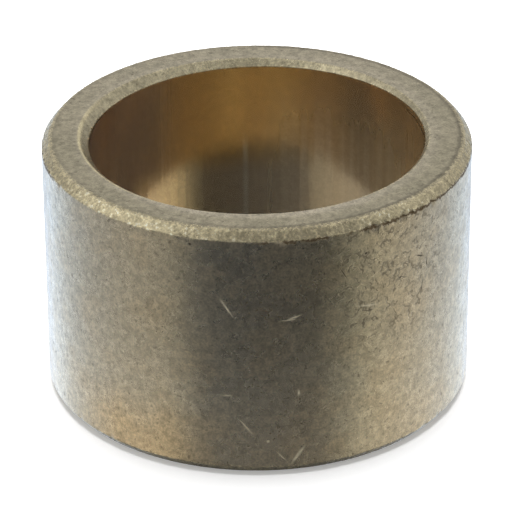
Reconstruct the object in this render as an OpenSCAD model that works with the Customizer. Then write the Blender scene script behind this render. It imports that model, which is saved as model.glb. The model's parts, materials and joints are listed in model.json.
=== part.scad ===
// Plain bronze sleeve bushing: one sintered, oil-impregnated ring.
// The bore axis is +Z, and the origin is the centre of the lower end face.
// All sizes are in millimetres.

/* [Sleeve] */
// Outside diameter, which is pressed into the housing
outside_d = 32; // [29:0.5:60]
// Bore diameter, in which the shaft runs
bore_d = 25; // [8:0.5:25]
// Length over both end faces
length = 20; // [10:1:60]

/* [Outside edges] */
// Depth of the outside chamfers, measured on the end face
outside_chamfer_r = 0.6; // [0.2:0.1:1]
// Height of the outside chamfers, measured along the wall
outside_chamfer_z = 0.7; // [0.2:0.1:1.5]

/* [Bore edges] */
// Width of the bore chamfers, the same on the end face and along the bore
bore_chamfer = 0.5; // [0.1:0.1:0.8]

/* [Hidden] */
$fn = 180;
outside_r = outside_d / 2;
bore_r = bore_d / 2;

// Lower end of the wall's outline, from the bore out to the outside wall
lower_end = [
    [bore_r, bore_chamfer],
    [bore_r + bore_chamfer, 0],
    [outside_r - outside_chamfer_r, 0],
    [outside_r, outside_chamfer_z],
];

// The same points turned over, at the full length, from the outside wall back to the bore.
function turned_over(points) =
    [for (i = [len(points) - 1:-1:0]) [points[i].x, length - points[i].y]];

// The ring itself: one solid, because a plain sleeve bushing has no other piece.
module sleeve() {
    color([0.60, 0.53, 0.42])
        rotate_extrude()
            polygon(concat(lower_end, turned_over(lower_end)));
}

sleeve();
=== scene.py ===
# A plain bronze sleeve bushing, standing on its lower end face on a pale studio floor.
# Lengths are in metres. The bore axis is +Z, and the camera looks from -Y and above.
# Azimuths go round +Z from -Y, the camera's side, towards +X, in degrees.

import json
import math
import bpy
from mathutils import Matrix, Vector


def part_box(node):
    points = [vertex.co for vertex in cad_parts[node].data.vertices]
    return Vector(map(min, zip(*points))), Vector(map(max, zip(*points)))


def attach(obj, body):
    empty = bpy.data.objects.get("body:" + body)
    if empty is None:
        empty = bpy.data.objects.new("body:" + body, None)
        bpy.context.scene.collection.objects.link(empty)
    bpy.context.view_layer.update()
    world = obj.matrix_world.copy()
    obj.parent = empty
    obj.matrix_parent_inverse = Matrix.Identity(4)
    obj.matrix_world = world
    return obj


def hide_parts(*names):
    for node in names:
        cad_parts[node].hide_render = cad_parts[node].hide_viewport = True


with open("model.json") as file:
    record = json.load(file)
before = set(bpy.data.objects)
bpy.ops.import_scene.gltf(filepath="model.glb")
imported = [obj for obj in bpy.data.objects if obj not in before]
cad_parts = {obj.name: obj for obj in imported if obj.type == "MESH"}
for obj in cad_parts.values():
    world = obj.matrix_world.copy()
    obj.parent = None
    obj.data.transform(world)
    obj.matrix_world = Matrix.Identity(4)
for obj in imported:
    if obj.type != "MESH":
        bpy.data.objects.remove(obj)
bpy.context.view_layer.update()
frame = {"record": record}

from types import SimpleNamespace

import bpy
import numpy as np
from mathutils import Matrix, Vector, noise

MM = 0.001
SEED = 7

# ---------------------------------------------------------------- sizes from the frame

MOUNTS = {mount["name"]: mount for mount in frame["record"]["mounts"]}
LOW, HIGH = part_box("sleeve")
LENGTH = HIGH.z - LOW.z
BORE_R = MOUNTS["bore"]["dims"]["r_mm"] * MM
OUTSIDE_R = MOUNTS["outside_seat"]["dims"]["r_mm"] * MM
BORE_CHAMFER = (LENGTH - MOUNTS["bore"]["dims"]["length_mm"] * MM) / 2
OUTSIDE_CHAMFER_Z = (LENGTH - MOUNTS["outside_seat"]["dims"]["length_mm"] * MM) / 2
OUTSIDE_CHAMFER_R = 0.6 * MM
BORE_CORNER_R = BORE_R + BORE_CHAMFER                # an end face starts here
OUTSIDE_CORNER_R = OUTSIDE_R - OUTSIDE_CHAMFER_R     # and ends here

# ---------------------------------------------------------------- the sleeve's mesh

AROUND = 720              # points round the axis
EDGE_STEPS = 4            # segments in the rounding of one edge
EDGE_ROUND = {"face": 0.20 * MM, "other": 0.08 * MM}   # how far the rounding of an edge reaches
FACE_EDGES = (2, 5)       # the corners between the end faces and the outside chamfers
WEAR_REACH = 0.35 * MM    # the wear of an edge fades out over about this distance
# Average gap between the points on each side of the section. They are closer at its ends.
GAPS = {"bore": 0.90 * MM, "bore_chamfer": 0.12 * MM, "face": 0.24 * MM,
        "chamfer": 0.09 * MM, "wall": 0.62 * MM}

# Share of the unwrapped map's height that each zone gets, over both of its ends.
MAP_SHARES = {"wall": 0.50, "chamfer": 0.06, "face": 0.16, "bore_chamfer": 0.04, "bore": 0.24}
MAP_ROWS = 2              # the ring is unwrapped in this many lengths, one over the other
MAP_GAP = 0.01            # free edge round each of them

BORE_CHAMFER_SHIFT = 0.20 * MM   # the bore chamfer was cut this far off centre
BORE_CHAMFER_SHIFT_TO = -90      # azimuth of its wide side
BORE_FADE = 3.0 * MM             # length of bore over which the shift fades out
ON_FACE = 1e-7                   # a point closer to an end face than this lies on it

# How deep the powder grains have crumbled away, and the size of the larger crumbs.
CRUMBLE = {"chamfer": 0.035 * MM, "bore_chamfer": 0.015 * MM, "wall": 0.003 * MM,
           "face": 0.003 * MM, "bore": 0.0}
CRUMB = 0.25 * MM
FINE_CRUMBS = 0.8         # depth of the crumbs half as large, against that of the larger ones
CRUMBLE_MIDDLE = 0.4      # share of the depth that is gone where the noise is at its middle

# Chips in the top outside edge: azimuth, width and depth in millimetres.
CHIPS = [(28.5, 0.40, 0.12), (31.5, 0.55, 0.24), (34.5, 0.35, 0.16), (38.0, 0.40, 0.14),
         (40.5, 0.45, 0.18), (43.5, 0.35, 0.16), (47.0, 0.40, 0.12), (52.0, 0.50, 0.14),
         (-18.0, 0.35, 0.08), (-64.0, 0.40, 0.08)]
RANDOM_CHIPS = 30         # more of them, anywhere on the two outside edges
RANDOM_CHIP_WIDTH = (0.2, 0.5)
RANDOM_CHIP_DEPTH = (0.03, 0.10)
CHIP_INWARD = 0.3         # weight of the distance inwards: chips reach in over the chamfer


def zone_corners():
    """The section's corners as (r, z), each with the zone of the side that starts there."""
    low_half = [
        ("bore_chamfer", BORE_R, BORE_CHAMFER),
        ("face", BORE_CORNER_R, 0),
        ("chamfer", OUTSIDE_CORNER_R, 0),
        ("wall", OUTSIDE_R, OUTSIDE_CHAMFER_Z),
    ]
    high_half = [
        ("chamfer", OUTSIDE_R, LENGTH - OUTSIDE_CHAMFER_Z),
        ("face", OUTSIDE_CORNER_R, LENGTH),
        ("bore_chamfer", BORE_CORNER_R, LENGTH),
        ("bore", BORE_R, LENGTH - BORE_CHAMFER),
    ]
    return low_half + high_half


def edge_round(corner):
    """How far the rounding of a corner reaches along each of its sides."""
    return EDGE_ROUND["face" if corner in FACE_EDGES else "other"]


def section():
    """The closed outline of the wall: points (r, z), outward normals, zones and wear."""
    corners = zone_corners()
    points, normals, zones, wear = [], [], [], []
    for i, (zone, *start) in enumerate(corners):
        following = (i + 1) % len(corners)
        before = np.array(corners[i - 1][1:])
        start = np.array(start)
        end = np.array(corners[following][1:])
        come = (start - before) / np.linalg.norm(start - before)
        go = (end - start) / np.linalg.norm(end - start)
        come_normal = np.array([come[1], -come[0]])
        go_normal = np.array([go[1], -go[0]])
        edge, next_edge = edge_round(i), edge_round(following)
        for step in range(EDGE_STEPS + 1):
            t = step / EDGE_STEPS
            first, last = start - come * edge, start + go * edge
            point = (1 - t) ** 2 * first + 2 * t * (1 - t) * start + t ** 2 * last
            normal = (1 - t) * come_normal + t * go_normal
            points.append(point)
            normals.append(normal / np.linalg.norm(normal))
            zones.append(zone if t > 0.5 else corners[i - 1][0])
            wear.append(1.0)
        side = np.linalg.norm(end - start) - edge - next_edge
        count = max(2, round(side / GAPS[zone]))
        for step in range(1, count):
            along = edge + side * (1 - math.cos(math.pi * step / count)) / 2
            points.append(start + go * along)
            normals.append(go_normal)
            zones.append(zone)
            nearest = min(along, side + edge + next_edge - along)
            wear.append(math.exp(-nearest / WEAR_REACH))
    return np.array(points), np.array(normals), zones, np.array(wear)


def chamfer_shift(point):
    """How far a section point moves, as (r, z), where the bore chamfer is at its widest."""
    r, z = point
    top = z > LENGTH / 2
    depth = LENGTH - z if top else z
    down = -1 if top else 1
    if depth < ON_FACE or r > BORE_CORNER_R:
        across = (OUTSIDE_CORNER_R - r) / (OUTSIDE_CORNER_R - BORE_CORNER_R)
        return np.array([np.clip(across, 0, 1) * BORE_CHAMFER_SHIFT, 0])
    if depth <= BORE_CHAMFER:
        t = depth / BORE_CHAMFER
        return np.array([1 - t, down * t]) * BORE_CHAMFER_SHIFT
    fade = np.clip(1 - (depth - BORE_CHAMFER) / BORE_FADE, 0, 1)
    return np.array([0, down * fade * BORE_CHAMFER_SHIFT])


def chips():
    """Every chip as (azimuth in radians, height, width, depth)."""
    made = [(math.radians(azimuth), LENGTH, width * MM, depth * MM)
            for azimuth, width, depth in CHIPS]
    rng = np.random.default_rng(SEED)
    for _ in range(RANDOM_CHIPS):
        height = LENGTH if rng.random() < 0.5 else 0
        made.append((rng.uniform(-math.pi, math.pi), height,
                     rng.uniform(*RANDOM_CHIP_WIDTH) * MM, rng.uniform(*RANDOM_CHIP_DEPTH) * MM))
    return made


def grain(x, y, z, size):
    """Smooth noise from -1 to 1 whose lumps are about the given size."""
    return noise.noise(Vector((x, y, z)) / size)


def crumbled(outward, r, z, amount):
    """Depth of the crumbling at each point of one round."""
    depth = np.zeros(AROUND)
    for i in range(AROUND):
        place = (outward[i, 0] * r[i], outward[i, 1] * r[i], z[i])
        rough = grain(*place, CRUMB) + FINE_CRUMBS * grain(*place, CRUMB / 2)
        depth[i] = amount * max(0.0, CRUMBLE_MIDDLE + rough)
    return depth


def chipped(azimuths, r, z, all_chips):
    """Depth of the chips at each point of one round."""
    depth = np.zeros(AROUND)
    for azimuth, height, width, deep in all_chips:
        off = (azimuths - azimuth + math.pi) % (2 * math.pi) - math.pi
        edge_z = abs(height - OUTSIDE_CHAMFER_Z)
        away = (off * OUTSIDE_R) ** 2 + (r - OUTSIDE_R) ** 2 * CHIP_INWARD + (z - edge_z) ** 2
        depth += deep * np.exp(-away / (width / 2) ** 2)
    return depth


def sleeve_points(points, normals, zones):
    """All mesh points, round by round, with the shifted chamfers, the crumbling and the chips."""
    shifts = np.array([chamfer_shift(point) for point in points])
    azimuths = np.arange(AROUND) * 2 * math.pi / AROUND
    outward = np.stack([np.sin(azimuths), -np.cos(azimuths)], 1)
    all_chips = chips()
    made = np.zeros((len(points), AROUND, 3))
    wide_side = np.cos(azimuths - math.radians(BORE_CHAMFER_SHIFT_TO))
    for j, (point, normal, zone) in enumerate(zip(points, normals, zones)):
        r = point[0] + shifts[j][0] * wide_side
        z = point[1] + shifts[j][1] * wide_side
        depth = np.zeros(AROUND)
        if CRUMBLE[zone]:
            depth += crumbled(outward, r, z, CRUMBLE[zone])
        if zone in ("chamfer", "wall", "face"):
            depth += chipped(azimuths, r, z, all_chips)
        r = r - normal[0] * depth
        z = z - normal[1] * depth
        made[j] = np.stack([outward[:, 0] * r, outward[:, 1] * r, z], 1)
    return made


def sleeve_faces(rows):
    """Quads of the closed grid, as four point numbers each, with the outside facing out."""
    j = np.arange(rows)[:, None]
    i = np.arange(AROUND)[None, :]
    next_j, next_i = (j + 1) % rows, (i + 1) % AROUND
    quads = [j * AROUND + i, j * AROUND + next_i, next_j * AROUND + next_i, next_j * AROUND + i]
    return np.stack(quads, -1).reshape(-1, 4)


def unwrap(mesh, points, zones):
    """A map of the whole surface without overlaps: the ring cut into equal lengths."""
    steps = np.linalg.norm(np.roll(points, -1, 0) - points, axis=1)
    for zone, share in MAP_SHARES.items():
        there = np.array([name == zone for name in zones])
        steps[there] *= share / steps[there].sum()
    climb = np.concatenate([[0], np.cumsum(steps)])
    j, i = np.divmod(np.arange(len(points) * AROUND), AROUND)
    length = AROUND // MAP_ROWS
    row, column = np.divmod(i, length)
    u = np.stack([column, column + 1, column + 1, column], 1) / length
    v = np.stack([climb[j], climb[j], climb[j + 1], climb[j + 1]], 1)
    u = MAP_GAP + (1 - 2 * MAP_GAP) * u
    v = (row[:, None] + MAP_GAP + (1 - 2 * MAP_GAP) * v) / MAP_ROWS
    layer = mesh.uv_layers.new(name="OFBake")
    layer.data.foreach_set("uv", np.stack([u, v], -1).ravel().astype(np.float32))


def build_sleeve(material):
    """The sleeve as one closed mesh, with its zones and wear as values for the material."""
    points, normals, zones, wear = section()
    made = sleeve_points(points, normals, zones)
    mesh = bpy.data.meshes.new("sleeve_metal")
    mesh.from_pydata(made.reshape(-1, 3).tolist(), [], sleeve_faces(len(made)).tolist())
    mesh.shade_smooth()
    unwrap(mesh, points, zones)
    layers = {name: np.array([zone == name for zone in zones], float)
              for name in ("bore", "face", "bore_chamfer")}
    layers["wear"] = wear
    for name, values in layers.items():
        layer = mesh.attributes.new(name, "FLOAT", "POINT")
        layer.data.foreach_set("value", np.repeat(values, AROUND).astype(np.float32))
    mesh.materials.append(material)
    piece = bpy.data.objects.new("sleeve_metal", mesh)
    bpy.context.scene.collection.objects.link(piece)
    return piece


# ---------------------------------------------------------------- node helpers

class Nodes:
    """Short calls for building one node tree."""

    def __init__(self, tree):
        self.tree = tree

    def add(self, kind, inputs=(), **settings):
        """A new node with its settings, and its inputs as numbers or as links."""
        node = self.tree.nodes.new(kind)
        for name, value in settings.items():
            setattr(node, name, value)
        for socket, value in dict(inputs).items():
            self.put(node.inputs[socket], value)
        return node

    def put(self, socket, value):
        """Link an output to the socket, or set the socket to a plain value."""
        if isinstance(value, bpy.types.NodeSocket):
            self.tree.links.new(value, socket)
        else:
            socket.default_value = value

    def maths(self, operation, *values, clamp=False):
        """One operation on numbers."""
        node = self.add("ShaderNodeMath", operation=operation, use_clamp=clamp)
        for socket, value in zip(node.inputs, values):
            self.put(socket, value)
        return node.outputs[0]

    def times(self, *values):
        """The product of two or more numbers."""
        product = values[0]
        for value in values[1:]:
            product = self.maths("MULTIPLY", product, value)
        return product

    def most(self, *values):
        """The largest of two or more numbers."""
        largest = values[0]
        for value in values[1:]:
            largest = self.maths("MAXIMUM", largest, value)
        return largest

    def distance(self, first, second):
        """How far two numbers are apart."""
        return self.maths("ABSOLUTE", self.maths("SUBTRACT", first, second))

    def ramp(self, value, low, high, to_low=0.0, to_high=1.0):
        """Smooth step of a value, from to_low at low to to_high at high."""
        node = self.add("ShaderNodeMapRange", {"Value": value, "From Min": low, "From Max": high,
                                               "To Min": to_low, "To Max": to_high},
                        interpolation_type="SMOOTHSTEP")
        return node.outputs["Result"]

    def mix_value(self, factor, first, second):
        """Number mix, from first at 0 to second at 1."""
        node = self.add("ShaderNodeMix", data_type="FLOAT")
        for socket, value in zip([node.inputs[0], *node.inputs[2:4]], [factor, first, second]):
            self.put(socket, value)
        return node.outputs[0]

    def mix(self, factor, first, second):
        """Colour mix, from first at 0 to second at 1."""
        node = self.add("ShaderNodeMix", data_type="RGBA")
        for socket, value in zip([node.inputs[0], *node.inputs[6:8]], [factor, first, second]):
            self.put(socket, value)
        return node.outputs[2]

    def noise(self, place, size, detail=2.0, roughness=0.5):
        """Noise from 0 to 1 whose lumps are about the given size."""
        node = self.add("ShaderNodeTexNoise", {"Vector": place, "Scale": 1 / size,
                                               "Detail": detail, "Roughness": roughness})
        return node.outputs["Fac"]

    def length(self, vector):
        """The length of a vector."""
        return self.add("ShaderNodeVectorMath", {0: vector}, operation="LENGTH").outputs["Value"]

    def attribute(self, name):
        """One of the mesh's own values."""
        return self.add("ShaderNodeAttribute", attribute_name=name).outputs["Fac"]


# ---------------------------------------------------------------- bronze

WALL_COLOUR = (0.60, 0.525, 0.38, 1)
WARM_COLOUR = (0.72, 0.53, 0.29, 1)
FACE_COLOUR = (0.48, 0.43, 0.30, 1)
PALE_FACE_COLOUR = (0.76, 0.67, 0.52, 1)
BORE_COLOUR = (0.61, 0.43, 0.22, 1)
GOLDEN_BORE_COLOUR = (0.68, 0.45, 0.175, 1)
# Painted light: the colour of the paler patch low in the bore at the back left.
LIT_BORE_COLOUR = (0.88, 0.65, 0.36, 1)
DULL_BORE_COLOUR = (0.47, 0.345, 0.24, 1)
HAZE_COLOUR = (0.66, 0.52, 0.32, 1)
DULL_EDGE_COLOUR = (0.54, 0.47, 0.31, 1)
BARE_EDGE_COLOUR = (0.92, 0.80, 0.50, 1)
# Painted highlights: this glint colour is painted on to clumps of the top outside chamfer.
PAINTED_GLINT_COLOUR = (1.0, 0.94, 0.74, 1)
DULL_RIM_COLOUR = (0.42, 0.37, 0.25, 1)
BARE_RIM_COLOUR = (0.88, 0.78, 0.52, 1)
PIT_COLOUR = (0.07, 0.055, 0.04, 1)
# Painted shade: the colour of the dark line under the top outside chamfer.
SEAM_SHADE_COLOUR = (0.16, 0.105, 0.05, 1)
SCRATCH_COLOUR = (0.92, 0.84, 0.62, 1)

# The metallic share; the rest is the dull film of oil and oxide.
METAL_SHARE = {"wall": 0.90, "bore": 0.80, "haze": 0.64, "scratch": 0.62}
WALL_ROUGHNESS = (0.24, 0.32)     # least and most
BORE_ROUGHNESS = 0.13
TORN_ROUGHNESS = 0.3              # added in pits and scratches

# How far each of these covers the colour that it lies on.
COVER = {"pits": 0.85, "seam_shade": 0.85, "scratches": 0.6, "bore_line": 0.45, "far_face_light": 0.22}
LOW_WARMTH = 0.15                 # how golden the wall is low down, all round
WARM_ARC_WARMTH = 0.6             # and what its warm arc adds to that
CHIPPED_AND_HIGHLIT_BARENESS = 0.34             # how much barer the top outside chamfer is where chipped, and in its painted highlight at the front
NEAR_RIM_BARENESS = 0.35          # of the bore chamfers, against 1 on the far side
BORE_CALM = 0.65                  # share of the grain's shading that the bore has lost

BUMP_STRENGTH = 0.6
BUMP_DEPTH = 0.03 * MM
# Heights in the bump. Pits and the seam are 1 deep.
GRAIN_HEIGHT = 0.25
EDGE_GRAIN_HEIGHT = 1.4           # added on the chamfers
SCRATCH_DEPTH = 0.5

# Sizes of the lumps in the noises.
GRAIN = 0.15 * MM
CLUMP = 0.26 * MM
PORE = 0.32 * MM
SEAM_JAG = 0.35 * MM
MOTTLE = 0.55 * MM
STREAK = 0.60 * MM
CREASE = 0.90 * MM
CREASE_BREAK = 0.60 * MM
SEAM_BREAK = 1.1 * MM
ROUGHNESS_PATCH = 1.5 * MM
WARM_PATCH = 3.0 * MM
FACE_PATCH = 5.0 * MM
STREAK_STRETCH = 0.02             # how slowly the bore's streaks change along the bore

# Smooth steps: where each starts and ends, and the two values it joins if not 0 and 1.
STEPS = {
    # by a noise, which runs from 0 to 1
    "mottle_shade": (0.30, 0.70, 0.81, 1.17),
    "grain_shade": (0.25, 0.75, 0.82, 1.16),
    "wall_roughness": (0.3, 0.7, *WALL_ROUGHNESS),
    "warm_patches": (0.40, 0.70, 0.0, 0.18),
    "pores": (0.58, 0.76, 0, 0.45),
    "crease_parts": (0.46, 0.54),
    "back_marks": (0.74, 0.80),
    "worn_grains": (0.4, 0.6, 0, 0.4),
    "bare_clumps": (0.40, 0.68, -0.1, 0.6),
    "painted_glints": (0.58, 0.66),
    "seam_jag": (0.3, 0.7, -0.10 * MM, 0.10 * MM),
    "seam_parts": (0.40, 0.52),
    "face_patches": (0.35, 0.65, 0.0, 0.35),
    "rim_clumps": (0.3, 0.7, 0.5, 1.0),
    "bore_lines": (0.3, 0.7, 0, 0.3),
    "haze_streaks": (0.3, 0.7, 0.80, 1.15),
    # by how far a noise is from its middle
    "crease_curl": (0.045, 0.01, 0, 0.5),
    # by the mesh's own values and the masks made from them
    "on_wall": (0.6, 0.2),
    "worn_edge": (0.75, 1.0),
    "rubbed_ridge": (0.45, 0.9, 0, 0.85),
    "bore_grain": (0, 1, 1, 0.05),
    "bore_pores": (0, 1, 1, 0.2),
    # by height
    "low_wall": (7 * MM, 1 * MM),
    "crease_height": (8 * MM, 12 * MM),
    "upper_half": (LENGTH / 3, LENGTH / 2),
    "gold_end": (12.5 * MM, 10 * MM),
    "lit_bore_height": (12.5 * MM, 10.5 * MM),
    "haze_height": (21 * MM, 10 * MM),
    # by radius
    "chamfer_across": (OUTSIDE_CORNER_R - 0.16 * MM, OUTSIDE_CORNER_R + 0.12 * MM),
    "pale_ring": (BORE_CORNER_R + 1.10 * MM, BORE_CORNER_R + 0.20 * MM),
    "ridge_outside": (BORE_CORNER_R + 0.55 * MM, BORE_CORNER_R + 0.35 * MM),
    "ridge_inside": (BORE_R + BORE_CHAMFER / 2, BORE_CORNER_R),
    # by the distance from a line
    "seam_shade": (0.13 * MM, 0.05 * MM),
    "shaded_ring": (0.34 * MM, 0.04 * MM),
}
# The same by azimuth, and by the angle from the front on either side. Both in degrees.
AZIMUTH_STEPS = {"whole_seam": (38, 47), "shaded_ring": (-40, 20, 0.12, 0.42)}
OFF_FRONT_STEPS = {"back_marks": (80, 95), "pale_ring": (60, 25, 0.25, 0.6),
                   "far_rim": (135, 162)}

RAGGED = 0.5 * MM                 # how unevenly the outside chamfer runs out on to an end face
RAGGED_ON_WALL = 0.4              # share of that on its other side, where it meets the wall
CHAMFER_FADE = (-0.04 * MM, 0.03 * MM)   # it fades in across this stretch of that side
SEAM_DROP = 0.10 * MM             # from the top chamfer down to the middle of the dark line
SHADED_RING_R = OUTSIDE_CORNER_R - 0.28 * MM   # middle of the ring of painted shade on an end face

# Sectors by azimuth in degrees: the middle, and how far from it the mask is full and ends.
SECTORS = {
    "broken_chamfer": (38, 5, 15),
    "creases": (38, 10, 26),
    # Painted light: the far side of the end faces is painted paler.
    "far_face_light": (180, 30, 90),
    "far_bore": (180, 10, 40),
    "dull_bore": (-100, 24, 62),
    # Painted light patch in the bore:
    "lit_bore_patch": (-144, 7, 17),
    "hazy_bore": (138, 0, 52),
}
# Arcs by azimuth in degrees: where the mask starts, is full from, is full to and ends.
ARCS = {
    "warm_wall": (-62, -38, -24, -8),
    "highlit_chamfer": (-72, -48, -24, 20),
    # Where the top outside chamfer takes a painted highlight:
    "bright_ridge": (-125, -100, -55, -20),
    "right_seam": (-4, 4, 105, 125),
    "left_seam": (-125, -105, -72, -62),
}

# Light scratches in the outside wall: azimuth in degrees, height, slant in degrees,
# half length and half width. All lengths in this list and the next are in millimetres.
SCRATCHES = [(-8.1, 13.9, -57, 1.25, 0.08), (9.3, 13.1, 16, 0.70, 0.08),
             (7.6, 12.9, 5, 0.80, 0.05), (29.7, 13.0, -9, 1.15, 0.11),
             (-3.3, 4.1, -51, 1.25, 0.07), (-8.4, 6.7, 0, 0.75, 0.07),
             (6.1, 1.5, -49, 0.80, 0.05), (10.2, 1.6, 55, 1.15, 0.16),
             (10.4, 6.8, 80, 0.30, 0.12), (2.4, 2.9, 0, 0.16, 0.14)]
# Dark gouges and large pores, the same way.
GOUGES = [(22.3, 16.1, -60, 0.70, 0.06), (47.0, 15.4, -25, 0.60, 0.06),
          (49.8, 14.5, -80, 0.60, 0.07), (48.0, 12.8, -100, 0.80, 0.05),
          (28.7, 17.3, 0, 0.16, 0.14), (-17.5, 18.8, 0, 0.15, 0.15),
          (39.7, 14.4, 0, 0.12, 0.12), (29.5, 12.6, -9, 0.60, 0.04),
          (9.6, 12.9, 14, 0.40, 0.04), (75.0, 5.4, 90, 1.00, 0.05)]
MARK_CORE = 0.3           # share of a mark's half width that is at full strength

# Sparse random marks on the rest of the wall: their slants in degrees and their size.
BACK_SCRATCH_SLANT = -38
BACK_GOUGE_SLANT = 24
BACK_MARK_WIDTH = 0.14 * MM
BACK_MARK_STRETCH = 10    # length of one against its width

# The pale line down the far side of the bore: azimuth and half width in degrees, and its top.
BORE_LINE = (-176, 1.4, 13.0 * MM)
BORE_LINE_CORE = 0.25     # share of its half width that is at full strength
BORE_LINE_FADE = 1 * MM   # it fades out over this distance on either side of its top


def surface(nodes):
    """What the material is worked out from at each point: its place, zones and fine noises."""
    here = SimpleNamespace()
    here.place = nodes.add("ShaderNodeTexCoord").outputs["Object"]
    axes = nodes.add("ShaderNodeSeparateXYZ", {0: here.place}).outputs
    here.height = axes["Z"]
    here.azimuth = nodes.maths("ARCTAN2", axes["X"], nodes.times(axes["Y"], -1.0))
    flat = nodes.add("ShaderNodeVectorMath", {0: here.place, 1: (1, 1, 0)}, operation="MULTIPLY")
    here.radius = nodes.length(flat.outputs[0])
    here.wall_place = nodes.add("ShaderNodeCombineXYZ", {
        "X": nodes.times(here.azimuth, OUTSIDE_R), "Y": here.height}).outputs[0]

    here.clumps = nodes.noise(here.place, CLUMP, roughness=0.6)
    here.grains = nodes.noise(here.place, GRAIN, roughness=0.6)
    here.streaks = bore_streaks(nodes, here)

    here.bore, here.face, here.rim, here.wear = [
        nodes.attribute(name) for name in ("bore", "face", "bore_chamfer", "wear")]
    here.chamfer = chamfer_mask(nodes, here)
    here.edges = nodes.most(here.chamfer, here.rim)
    here.on_wall = nodes.ramp(nodes.most(here.bore, here.face, here.edges), *STEPS["on_wall"])
    here.haze = bore_haze(nodes, here)
    return here


def sector(nodes, here, name):
    """The mask of one of the SECTORS."""
    middle, full, end = SECTORS[name]
    near = nodes.maths("COSINE", nodes.maths("SUBTRACT", here.azimuth, math.radians(middle)))
    return nodes.ramp(near, math.cos(math.radians(end)), math.cos(math.radians(full)))


def azimuth_ramp(nodes, here, low, high, to_low=0.0, to_high=1.0):
    """Smooth step by azimuth in degrees, from to_low at low to to_high at high."""
    return nodes.ramp(here.azimuth, math.radians(low), math.radians(high), to_low, to_high)


def off_front_ramp(nodes, here, low, high, to_low=0.0, to_high=1.0):
    """The same by the angle from the front, whichever side it is on."""
    away = nodes.maths("ABSOLUTE", here.azimuth)
    return nodes.ramp(away, math.radians(low), math.radians(high), to_low, to_high)


def arc(nodes, here, name):
    """The mask of one of the ARCS."""
    start, full_from, full_to, end = ARCS[name]
    return nodes.times(azimuth_ramp(nodes, here, start, full_from),
                       azimuth_ramp(nodes, here, end, full_to))


def bronze():
    """Sintered bronze: pressed grains with open pores, smoother and more golden in the bore."""
    material = bpy.data.materials.new("sintered_bronze")
    material.use_nodes = True
    nodes = Nodes(material.node_tree)
    here = surface(nodes)
    pits = nodes.most(pores(nodes, here), creases(nodes, here),
                      wall_marks(nodes, here, GOUGES, BACK_GOUGE_SLANT))
    scratches = wall_marks(nodes, here, SCRATCHES, BACK_SCRATCH_SLANT)
    seam_shade = shaded_seam(nodes, here)
    hollow = nodes.most(pits, seam_shade)

    shaded = nodes.add("ShaderNodeVectorMath", {0: metal_colour(nodes, here)}, operation="SCALE")
    nodes.put(shaded.inputs["Scale"], grain_shade(nodes, here))
    colour = nodes.mix(nodes.times(pits, COVER["pits"]), shaded.outputs[0], PIT_COLOUR)
    # Painted shade: the dark line under the top outside chamfer.
    colour = nodes.mix(nodes.times(seam_shade, COVER["seam_shade"]), colour, SEAM_SHADE_COLOUR)
    colour = nodes.mix(nodes.times(scratches, COVER["scratches"]), colour, SCRATCH_COLOUR)

    shader = material.node_tree.nodes["Principled BSDF"]
    nodes.put(shader.inputs["Base Color"], colour)
    nodes.put(shader.inputs["Roughness"], roughness(nodes, here, nodes.most(scratches, hollow)))
    nodes.put(shader.inputs["Metallic"], metal_share(nodes, here, scratches))
    nodes.put(shader.inputs["Normal"], relief(nodes, here, hollow, scratches))
    return material


def metal_colour(nodes, here):
    """The colour of each zone, before the grain, the pores and the marks."""
    colour = nodes.mix(warmth(nodes, here), WALL_COLOUR, WARM_COLOUR)
    colour = nodes.mix(here.face, colour, face_colour(nodes, here))
    colour = nodes.mix(here.bore, colour, bore_colour(nodes, here))
    colour = nodes.mix(nodes.times(bore_line(nodes, here), COVER["bore_line"]), colour, SCRATCH_COLOUR)
    colour = nodes.mix(here.chamfer, colour, chamfer_colour(nodes, here))
    colour = nodes.mix(here.rim, colour, rim_colour(nodes, here))
    worn = nodes.times(nodes.ramp(here.wear, *STEPS["worn_edge"]),
                       nodes.ramp(here.grains, *STEPS["worn_grains"]))
    return nodes.mix(nodes.most(worn, bore_ridge(nodes, here)), colour, BARE_EDGE_COLOUR)


def grain_shade(nodes, here):
    """How much the grain lightens or darkens the colour, which is least in the bore."""
    mottle = nodes.noise(here.place, MOTTLE, detail=3, roughness=0.65)
    shade = nodes.times(nodes.ramp(mottle, *STEPS["mottle_shade"]),
                        nodes.ramp(here.grains, *STEPS["grain_shade"]))
    return nodes.mix_value(nodes.times(here.bore, BORE_CALM), shade, 1.0)


def roughness(nodes, here, torn):
    """Satin outside and smooth in the bore, and rougher where the metal is torn."""
    wall = nodes.ramp(nodes.noise(here.place, ROUGHNESS_PATCH, detail=3), *STEPS["wall_roughness"])
    rough = nodes.mix_value(here.bore, wall, BORE_ROUGHNESS)
    return nodes.maths("ADD", rough, nodes.times(torn, TORN_ROUGHNESS))


def metal_share(nodes, here, scratches):
    """How metallic each point is."""
    bore_metal = nodes.mix_value(here.haze, METAL_SHARE["bore"], METAL_SHARE["haze"])
    metal = nodes.mix_value(here.bore, METAL_SHARE["wall"], bore_metal)
    return nodes.mix_value(scratches, metal, METAL_SHARE["scratch"])


def relief(nodes, here, hollow, scratches):
    """The fine bumps: grains, most of all on the chamfers, the bore's lines and the marks."""
    coarse = nodes.maths("ADD", GRAIN_HEIGHT, nodes.times(here.edges, EDGE_GRAIN_HEIGHT))
    lumps = nodes.times(here.grains, coarse, nodes.ramp(here.bore, *STEPS["bore_grain"]))
    lines = nodes.times(here.bore, nodes.ramp(here.streaks, *STEPS["bore_lines"]))
    sunk = nodes.maths("ADD", hollow, nodes.times(scratches, SCRATCH_DEPTH))
    height = nodes.maths("SUBTRACT", nodes.maths("ADD", lumps, lines), sunk)
    bump = nodes.add("ShaderNodeBump", {
        "Height": height, "Strength": BUMP_STRENGTH, "Distance": BUMP_DEPTH})
    return bump.outputs["Normal"]


# The outside wall.

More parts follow.
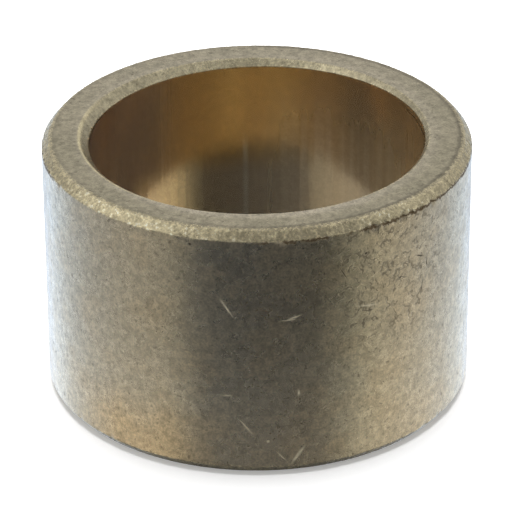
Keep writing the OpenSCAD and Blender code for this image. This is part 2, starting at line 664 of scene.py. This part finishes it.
def warmth(nodes, here):
    """How golden the wall is: in patches, and most of all low down at the front left."""
    patches = nodes.ramp(nodes.noise(here.place, WARM_PATCH, detail=3), *STEPS["warm_patches"])
    at_left = nodes.times(arc(nodes, here, "warm_wall"), WARM_ARC_WARMTH)
    low_down = nodes.times(nodes.ramp(here.height, *STEPS["low_wall"]),
                           nodes.maths("ADD", LOW_WARMTH, at_left))
    return nodes.maths("ADD", patches, low_down, clamp=True)


def pores(nodes, here):
    """Open pores, mostly closed by the burnishing in the bore."""
    mask = nodes.ramp(nodes.noise(here.place, PORE), *STEPS["pores"])
    return nodes.times(mask, nodes.ramp(here.bore, *STEPS["bore_pores"]))


def creases(nodes, here):
    """Short curly creases in the pressed skin, high on the wall at the front right."""
    curl = nodes.ramp(nodes.distance(nodes.noise(here.place, CREASE), 0.5), *STEPS["crease_curl"])
    broken = nodes.ramp(nodes.noise(here.place, CREASE_BREAK, detail=1), *STEPS["crease_parts"])
    where = nodes.times(sector(nodes, here, "creases"), nodes.ramp(here.height, *STEPS["crease_height"]))
    return nodes.times(here.on_wall, nodes.times(curl, nodes.times(broken, where)))


def wall_marks(nodes, here, wanted, back_slant):
    """Marks in the outside wall: those at chosen places and the sparse ones at the back."""
    both = nodes.most(marks(nodes, here, wanted), back_marks(nodes, here, back_slant))
    return nodes.times(here.on_wall, both)


def marks(nodes, here, wanted):
    """A mask that is 1 in the middle of each mark and tapers to 0 at its ends."""
    mask = 0.0
    for azimuth, height, slant, half_length, half_width in wanted:
        centre = (math.radians(azimuth) * OUTSIDE_R, height * MM, 0)
        local = nodes.add("ShaderNodeMapping", {
            "Vector": here.wall_place, "Location": centre, "Rotation": (0, 0, math.radians(slant)),
            "Scale": (half_length * MM, half_width * MM, 1)}, vector_type="TEXTURE")
        away = nodes.length(local.outputs[0])
        mask = nodes.maths("ADD", mask, nodes.ramp(away, 1.0, MARK_CORE), clamp=True)
    return mask


def back_marks(nodes, here, slant):
    """A mask of short thin marks, all at one slant, on the wall's side away from -Y."""
    turned = nodes.add("ShaderNodeMapping", {
        "Vector": here.wall_place, "Rotation": (0, 0, math.radians(slant)),
        "Scale": (BACK_MARK_STRETCH, 1, 1)}, vector_type="TEXTURE").outputs[0]
    mask = nodes.ramp(nodes.noise(turned, BACK_MARK_WIDTH, detail=1), *STEPS["back_marks"])
    return nodes.times(mask, off_front_ramp(nodes, here, *OFF_FRONT_STEPS["back_marks"]))


# The outside chamfers and the end faces.

def chamfer_mask(nodes, here):
    """The outside chamfers: their grain runs out raggedly on to the end faces."""
    ragged = nodes.times(nodes.maths("SUBTRACT", here.clumps, 0.5), RAGGED)
    across = nodes.ramp(nodes.maths("ADD", here.radius, ragged), *STEPS["chamfer_across"])
    from_middle = nodes.distance(here.height, LENGTH / 2)
    edge = LENGTH / 2 - OUTSIDE_CHAMFER_Z
    along = nodes.ramp(nodes.maths("ADD", from_middle, nodes.times(ragged, RAGGED_ON_WALL)),
                       *[edge + fade for fade in CHAMFER_FADE])
    return nodes.times(across, along)


def chamfer_colour(nodes, here):
    """The outside chamfers: clumps of barer metal; the top one barer where chipped on the right, with a
    painted highlight at its front and painted glint highlights in both.
    """
    # Painted highlight at the front, and the barer chipped stretch on the right.
    lit_and_chipped = nodes.most(arc(nodes, here, "highlit_chamfer"), sector(nodes, here, "broken_chamfer"))
    lit_and_chipped = nodes.times(lit_and_chipped, nodes.ramp(here.height, *STEPS["upper_half"]))
    bare = nodes.maths("ADD", nodes.times(lit_and_chipped, CHIPPED_AND_HIGHLIT_BARENESS),
                       nodes.ramp(here.clumps, *STEPS["bare_clumps"]))
    colour = nodes.mix(bare, DULL_EDGE_COLOUR, BARE_EDGE_COLOUR)
    # Painted glint highlights on the brightest clumps there.
    painted_glints = nodes.times(lit_and_chipped, nodes.ramp(here.clumps, *STEPS["painted_glints"]))
    return nodes.mix(painted_glints, colour, PAINTED_GLINT_COLOUR)


def shaded_seam(nodes, here):
    """The jagged dark line where the top outside chamfer breaks away from the wall: painted shade under
    its lower edge.
    """
    jag = nodes.ramp(nodes.noise(here.wall_place, SEAM_JAG, detail=3, roughness=0.7), *STEPS["seam_jag"])
    line = nodes.maths("ADD", LENGTH - OUTSIDE_CHAMFER_Z - SEAM_DROP, jag)
    mask = nodes.ramp(nodes.distance(here.height, line), *STEPS["seam_shade"])
    left = arc(nodes, here, "left_seam")
    side = nodes.maths("ADD", arc(nodes, here, "right_seam"), left)
    whole = nodes.maths("ADD", left, azimuth_ramp(nodes, here, *AZIMUTH_STEPS["whole_seam"]))
    parts = nodes.ramp(nodes.noise(here.wall_place, SEAM_BREAK), *STEPS["seam_parts"])
    return nodes.times(mask, nodes.times(side, nodes.most(whole, parts)))


def face_colour(nodes, here):
    """The end faces: painted light on the far side, a paler ring beside the bore, and a ring of painted
    shade beside the outside chamfer.
    """
    patches = nodes.ramp(nodes.noise(here.place, FACE_PATCH), *STEPS["face_patches"])
    colour = nodes.mix(patches, FACE_COLOUR, WALL_COLOUR)
    # Painted light: the far side of the end face is painted paler.
    far = nodes.times(sector(nodes, here, "far_face_light"), COVER["far_face_light"])
    colour = nodes.mix(far, colour, PALE_FACE_COLOUR)
    pale = nodes.times(nodes.ramp(here.radius, *STEPS["pale_ring"]),
                       off_front_ramp(nodes, here, *OFF_FRONT_STEPS["pale_ring"]))
    colour = nodes.mix(pale, colour, PALE_FACE_COLOUR)
    # Painted shade: a dark ring where the end face rounds over into the outside chamfer.
    dull = nodes.times(nodes.ramp(nodes.distance(here.radius, SHADED_RING_R), *STEPS["shaded_ring"]),
                       azimuth_ramp(nodes, here, *AZIMUTH_STEPS["shaded_ring"]))
    return nodes.mix(dull, colour, PIT_COLOUR)


# The bore and its chamfers.

def rim_colour(nodes, here):
    """The bore chamfers: clumps of barer metal, more of them on the far side."""
    far = off_front_ramp(nodes, here, *OFF_FRONT_STEPS["far_rim"])
    bare = nodes.times(nodes.ramp(here.clumps, *STEPS["rim_clumps"]),
                       nodes.mix_value(far, NEAR_RIM_BARENESS, 1.0))
    return nodes.mix(bare, DULL_RIM_COLOUR, BARE_RIM_COLOUR)


def bore_ridge(nodes, here):
    """The edge between an end face and the bore chamfer, rubbed bright on the left."""
    outside = nodes.ramp(here.radius, *STEPS["ridge_outside"])
    inside = nodes.ramp(here.radius, *STEPS["ridge_inside"])
    ridge = nodes.times(outside, inside, nodes.ramp(here.wear, *STEPS["rubbed_ridge"]))
    return nodes.times(ridge, arc(nodes, here, "bright_ridge"))


def bore_streaks(nodes, here):
    """Noise from 0 to 1, drawn out into fine lines along the bore by the tool that sized it."""
    stretched = nodes.add("ShaderNodeCombineXYZ", {
        "X": nodes.times(here.azimuth, BORE_R), "Y": nodes.times(here.height, STREAK_STRETCH)})
    return nodes.noise(stretched.outputs[0], STREAK, detail=1)


def bore_haze(nodes, here):
    """Where a thin grey film lies on the bore: at the back right, and less so near the top."""
    film = nodes.times(sector(nodes, here, "hazy_bore"), nodes.ramp(here.height, *STEPS["haze_height"]))
    return nodes.times(film, nodes.ramp(here.streaks, *STEPS["haze_streaks"]))


def bore_colour(nodes, here):
    """The bore: golden high on the far side, dull on the left, with a patch of painted light low at the
    back left.
    """
    colour = nodes.mix(sector(nodes, here, "dull_bore"), BORE_COLOUR, DULL_BORE_COLOUR)
    far_colour = nodes.mix(nodes.ramp(here.height, *STEPS["gold_end"]), GOLDEN_BORE_COLOUR, HAZE_COLOUR)
    colour = nodes.mix(sector(nodes, here, "far_bore"), colour, far_colour)
    # Painted light: a paler patch low at the back left, where the light comes in.
    rubbed = nodes.times(sector(nodes, here, "lit_bore_patch"),
                         nodes.ramp(here.height, *STEPS["lit_bore_height"]))
    colour = nodes.mix(rubbed, colour, LIT_BORE_COLOUR)
    return nodes.mix(here.haze, colour, HAZE_COLOUR)


def bore_line(nodes, here):
    """One faint straight line along the bore."""
    middle, half_width, top = BORE_LINE
    away = nodes.distance(here.azimuth, math.radians(middle))
    mask = nodes.ramp(away, math.radians(half_width), math.radians(half_width * BORE_LINE_CORE))
    mask = nodes.times(mask, nodes.ramp(here.height, top + BORE_LINE_FADE, top - BORE_LINE_FADE))
    return nodes.times(mask, here.bore)


# ---------------------------------------------------------------- studio

# The light round the sleeve below the horizon: azimuth in degrees and colour.
LOW_LIGHT = [(-180, (0.85, 0.94, 1.10)), (-165, (0.95, 1.12, 1.42)), (-148, (1.15, 1.40, 1.82)),
             (-120, (0.62, 0.72, 0.90)), (-98, (0.48, 0.51, 0.57)), (-78, (0.44, 0.44, 0.44)),
             (-60, (0.42, 0.41, 0.39)), (-46, (0.31, 0.31, 0.29)), (-30, (0.02, 0.03, 0.05)),
             (36, (0.01, 0.01, 0.01)), (49, (0.14, 0.15, 0.13)), (60, (0.43, 0.42, 0.35)),
             (80, (0.54, 0.51, 0.45)), (98, (0.58, 0.59, 0.60)), (120, (0.64, 0.71, 0.84)),
             (148, (0.95, 1.14, 1.42)), (165, (0.95, 1.12, 1.42)), (180, (0.85, 0.94, 1.10))]
UNDER_LIGHT = (0.02, 0.02, 0.025, 1)
HIGH_LIGHT = (0.24, 0.46)  # level of the light above, in front and behind
# Direction, inner and outer angle in degrees, and strength of each soft box above.
SOFT_BOXES = [((-0.78, -0.14, 0.62), 10, 42, 0.50), ((0.80, 0.05, 0.60), 10, 42, 0.20)]
SECOND_BOUNCE = 0.38      # share of all this left for what is seen by way of two surfaces
RAY_DEPTHS = (2.2, 2.8)   # the world's Ray Depth is over these only for that
# How far up a direction points, from -1 to 1, where one light gives way to the next.
LOW_TO_HIGH = (-0.34, -0.02)
LOW_TO_UNDER = (-0.60, -0.80)
FRONT_TO_BACK = (-0.2, 0.8)       # the same towards the back, for the light above
WHITE = (1, 1, 1, 1)

FLOOR_COLOUR = (0.86, 0.86, 0.86, 1)
FLOOR_LIGHT = 0.28        # the white table's own light, for the camera only
FLOOR_ROUGHNESS = 0.9
FLOOR_SPECULAR = 0.1
FLOOR_HALF = 3.0          # half the side of the table
GLOW_HALF = 0.06          # half the side of the sheet that glows round the sleeve
GLOW_REACH = 26 * MM      # how far from the wall it glows
GLOW_START = 1 * MM       # how far inside the wall it starts
# The cosines of the angles from the front between which its strength changes.
GLOW_FRONT = (0.98, 0.85)
GLOW = (0.13, 0.23)       # that strength in front and elsewhere
FLOOR_GAP = 0.02 * MM     # the table lies this far below the sleeve, so no two faces coincide

CAMERA_PLACE = Vector((-0.52, -236.77, 137.51)) * MM
CAMERA_PITCH, CAMERA_YAW, CAMERA_ROLL = [math.radians(angle) for angle in (28.41, 0.125, -0.346)]
CAMERA_LENS = 248.6       # focal length in mm, for the sensor width below
CAMERA_SENSOR = 36
CAMERA_CLIP = (0.01, 10)  # nearest and farthest that it sees


def studio_world():
    """Soft light all round: bright at the sides and behind, dark in front and underneath."""
    world = bpy.data.worlds.new("studio")
    world.use_nodes = True
    bpy.context.scene.world = world
    nodes = Nodes(world.node_tree)
    way = nodes.add("ShaderNodeTexCoord").outputs["Generated"]
    axes = nodes.add("ShaderNodeSeparateXYZ", {0: way}).outputs
    low = nodes.mix(nodes.ramp(axes["Z"], *LOW_TO_UNDER), low_light(nodes, axes), UNDER_LIGHT)
    colour = nodes.mix(nodes.ramp(axes["Z"], *LOW_TO_HIGH), low, high_light(nodes, way, axes))
    path = nodes.add("ShaderNodeLightPath").outputs
    background = world.node_tree.nodes["Background"]
    nodes.put(background.inputs["Color"], nodes.mix(path["Is Camera Ray"], colour, WHITE))
    strength = nodes.ramp(path["Ray Depth"], *RAY_DEPTHS, 1.0, SECOND_BOUNCE)
    nodes.put(background.inputs["Strength"], strength)


def low_light(nodes, axes):
    """The colours of LOW_LIGHT, run together round the sleeve."""
    azimuth = nodes.maths("ARCTAN2", axes["X"], nodes.times(axes["Y"], -1.0))
    share = nodes.maths("ADD", nodes.maths("DIVIDE", azimuth, 2 * math.pi), 0.5)
    ring = nodes.add("ShaderNodeValToRGB", {"Fac": share})
    stops = ring.color_ramp.elements
    for degrees, colour in LOW_LIGHT[1:-1]:
        stops.new(degrees / 360 + 0.5).color = (*colour, 1)
    stops[0].color = (*LOW_LIGHT[0][1], 1)
    stops[-1].color = (*LOW_LIGHT[-1][1], 1)
    return ring.outputs["Color"]


def high_light(nodes, way, axes):
    """White light from above, brighter behind, with the soft boxes in it."""
    level = nodes.ramp(axes["Y"], *FRONT_TO_BACK, *HIGH_LIGHT)
    for direction, inner, outer, strength in SOFT_BOXES:
        toward = Vector(direction).normalized()
        dot = nodes.add("ShaderNodeVectorMath", {0: way, 1: toward}, operation="DOT_PRODUCT")
        glow = nodes.ramp(dot.outputs["Value"], math.cos(math.radians(outer)),
                          math.cos(math.radians(inner)), 0.0, strength)
        level = nodes.maths("ADD", level, glow)
    return nodes.add("ShaderNodeCombineColor", {0: level, 1: level, 2: level}).outputs[0]


def floor_material():
    """A matt white table, lit a little from within so that the shadow on it stays faint."""
    material = bpy.data.materials.new("pale_floor")
    material.use_nodes = True
    nodes = Nodes(material.node_tree)
    shader = material.node_tree.nodes["Principled BSDF"]
    seen = nodes.add("ShaderNodeLightPath").outputs["Is Camera Ray"]
    shader.inputs["Emission Color"].default_value = WHITE
    nodes.put(shader.inputs["Emission Strength"], nodes.times(seen, FLOOR_LIGHT))
    shader.inputs["Base Color"].default_value = FLOOR_COLOUR
    shader.inputs["Roughness"].default_value = FLOOR_ROUGHNESS
    shader.inputs["Specular IOR Level"].default_value = FLOOR_SPECULAR
    return material


def flat_square(name, half, height, material):
    """A level square of the studio, from -half to half both ways."""
    mesh = bpy.data.meshes.new(name)
    corners = [(-half, -half), (half, -half), (half, half), (-half, half)]
    mesh.from_pydata([(x, y, height) for x, y in corners], [], [(0, 1, 2, 3)])
    mesh.materials.append(material)
    square = bpy.data.objects.new(name, mesh)
    bpy.context.scene.collection.objects.link(square)
    return square


def studio_floor():
    """The white table. The metal doesn't mirror it: the world and the glow stand in for it."""
    floor = flat_square("floor", FLOOR_HALF, LOW.z - FLOOR_GAP, floor_material())
    floor.visible_glossy = False


def floor_glow_material():
    """Light from the floor beside the sleeve, fading out with distance from the wall."""
    material = bpy.data.materials.new("floor_glow")
    material.use_nodes = True
    tree = material.node_tree
    tree.nodes.remove(tree.nodes["Principled BSDF"])
    nodes = Nodes(tree)
    place = nodes.add("ShaderNodeTexCoord").outputs["Object"]
    axes = nodes.add("ShaderNodeSeparateXYZ", {0: place}).outputs
    away = nodes.length(place)
    near = nodes.ramp(away, OUTSIDE_R + GLOW_REACH, OUTSIDE_R)
    near = nodes.times(near, nodes.ramp(away, OUTSIDE_R - GLOW_START, OUTSIDE_R))
    toward_front = nodes.maths("DIVIDE", nodes.times(axes["Y"], -1.0), away)
    side = nodes.ramp(toward_front, *GLOW_FRONT, *GLOW)
    glow = nodes.add("ShaderNodeEmission", {"Strength": nodes.times(near, side)})
    both = nodes.add("ShaderNodeAddShader", {
        0: glow.outputs[0], 1: nodes.add("ShaderNodeBsdfTransparent").outputs[0]})
    nodes.put(tree.nodes["Material Output"].inputs["Surface"], both.outputs[0])
    return material


def floor_glow():
    """The pale floor's own light as the metal sees it; nothing else sees this sheet."""
    sheet = flat_square("floor_glow", GLOW_HALF, LOW.z - FLOOR_GAP / 2, floor_glow_material())
    sheet.visible_camera = False
    sheet.visible_diffuse = False
    sheet.visible_shadow = False
    sheet.visible_transmission = False


def soft_light(name, place, aim, size, power):
    """A round lamp, which the metal doesn't mirror."""
    light = bpy.data.lights.new(name, "AREA")
    light.shape = "DISK"
    light.size = size
    light.energy = power
    lamp = bpy.data.objects.new(name, light)
    lamp.location = place
    lamp.rotation_euler = (Vector(aim) - Vector(place)).to_track_quat("-Z", "Y").to_euler()
    lamp.visible_glossy = False
    bpy.context.scene.collection.objects.link(lamp)


def studio_camera():
    """The viewpoint: in front of the sleeve, looking down on it through a long lens."""
    data = bpy.data.cameras.new("camera")
    data.sensor_width = CAMERA_SENSOR
    data.lens = CAMERA_LENS
    data.clip_start, data.clip_end = CAMERA_CLIP
    camera = bpy.data.objects.new("camera", data)
    turned = (Matrix.Rotation(-CAMERA_YAW, 4, "Z")
              @ Matrix.Rotation(math.pi / 2 - CAMERA_PITCH, 4, "X")
              @ Matrix.Rotation(CAMERA_ROLL, 4, "Z"))
    camera.matrix_world = Matrix.Translation(CAMERA_PLACE) @ turned
    bpy.context.scene.collection.objects.link(camera)
    bpy.context.scene.camera = camera


# ---------------------------------------------------------------- scene

studio_camera()
sleeve_metal = build_sleeve(bronze())
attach(sleeve_metal, "root")
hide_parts("sleeve")
studio_floor()
floor_glow()
studio_world()
soft_light("overhead", place=(0, 0.1, 0.6), aim=(0, 0, 0), size=0.5, power=6)
bpy.context.scene.view_settings.view_transform = "Standard"
